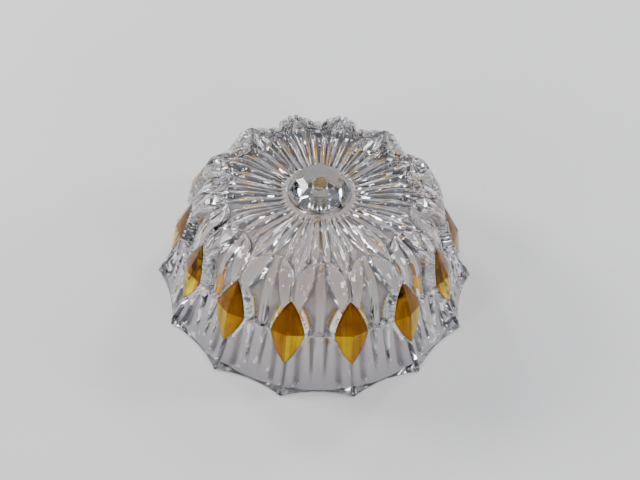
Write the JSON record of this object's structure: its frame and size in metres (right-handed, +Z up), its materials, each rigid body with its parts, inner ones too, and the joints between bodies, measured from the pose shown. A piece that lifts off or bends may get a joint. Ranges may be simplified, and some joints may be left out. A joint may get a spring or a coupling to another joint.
{
  "type": "glass bell",
  "caption": "Low clear pressed-glass bell with petal relief, amber lozenges round the skirt, a faceted knob and a chain-hung clapper inside.",
  "frame": {"origin": "centre of the mouth, in the plane of the rim that the bell stands on", "axes": "+Z up the axis of the bell through the knob; -Y through the middle of the front petal"},
  "size_m": [0.12, 0.117, 0.0532],
  "materials": {
    "clear_glass": "fire-polished pressed lead crystal, gloss",
    "amber_glass": "amber glass, gloss",
    "bead_glass": "solid clear glass ball, gloss",
    "brass": "turned brass, satin",
    "brass_wire": "drawn brass wire, bright",
    "clear_gasket": "translucent soft gasket"
  },
  "bodies": {
    "bell": {"bell_glass": "clear_glass", "amber_lozenges": "amber_glass", "knob_glass": "clear_glass", "knob_socket": "brass", "crown_gasket": "clear_gasket", "eye_bolt": "brass", "inner_gasket": "clear_gasket", "washer": "brass", "lock_nut": "brass"},
    "link_1": {"chain_link_1": "brass_wire"},
    "link_2": {"chain_link_2": "brass_wire"},
    "link_3": {"chain_link_3": "brass_wire"},
    "clapper": {"clapper_stem": "brass_wire", "clapper_bead": "bead_glass", "clapper_cap": "brass", "clapper_foot": "brass"}
  },
  "joints": [
    {"name": "link_1_swing", "type": "hinge", "parent": "bell", "child": "link_1", "pos_m": [0, 0, 0.0311], "axis": [1, 0, 0], "range_deg": [-40, 40]},
    {"name": "link_2_swing", "type": "hinge", "parent": "link_1", "child": "link_2", "pos_m": [0, 0, 0.02815], "axis": [0, 1, 0], "range_deg": [-40, 40]},
    {"name": "link_3_swing", "type": "hinge", "parent": "link_2", "child": "link_3", "pos_m": [0, 0, 0.02495], "axis": [1, 0, 0], "range_deg": [-40, 40]},
    {"name": "clapper_swing", "type": "hinge", "parent": "link_3", "child": "clapper", "pos_m": [0, 0, 0.02175], "axis": [0, 1, 0], "range_deg": [-40, 40]}
  ]
}
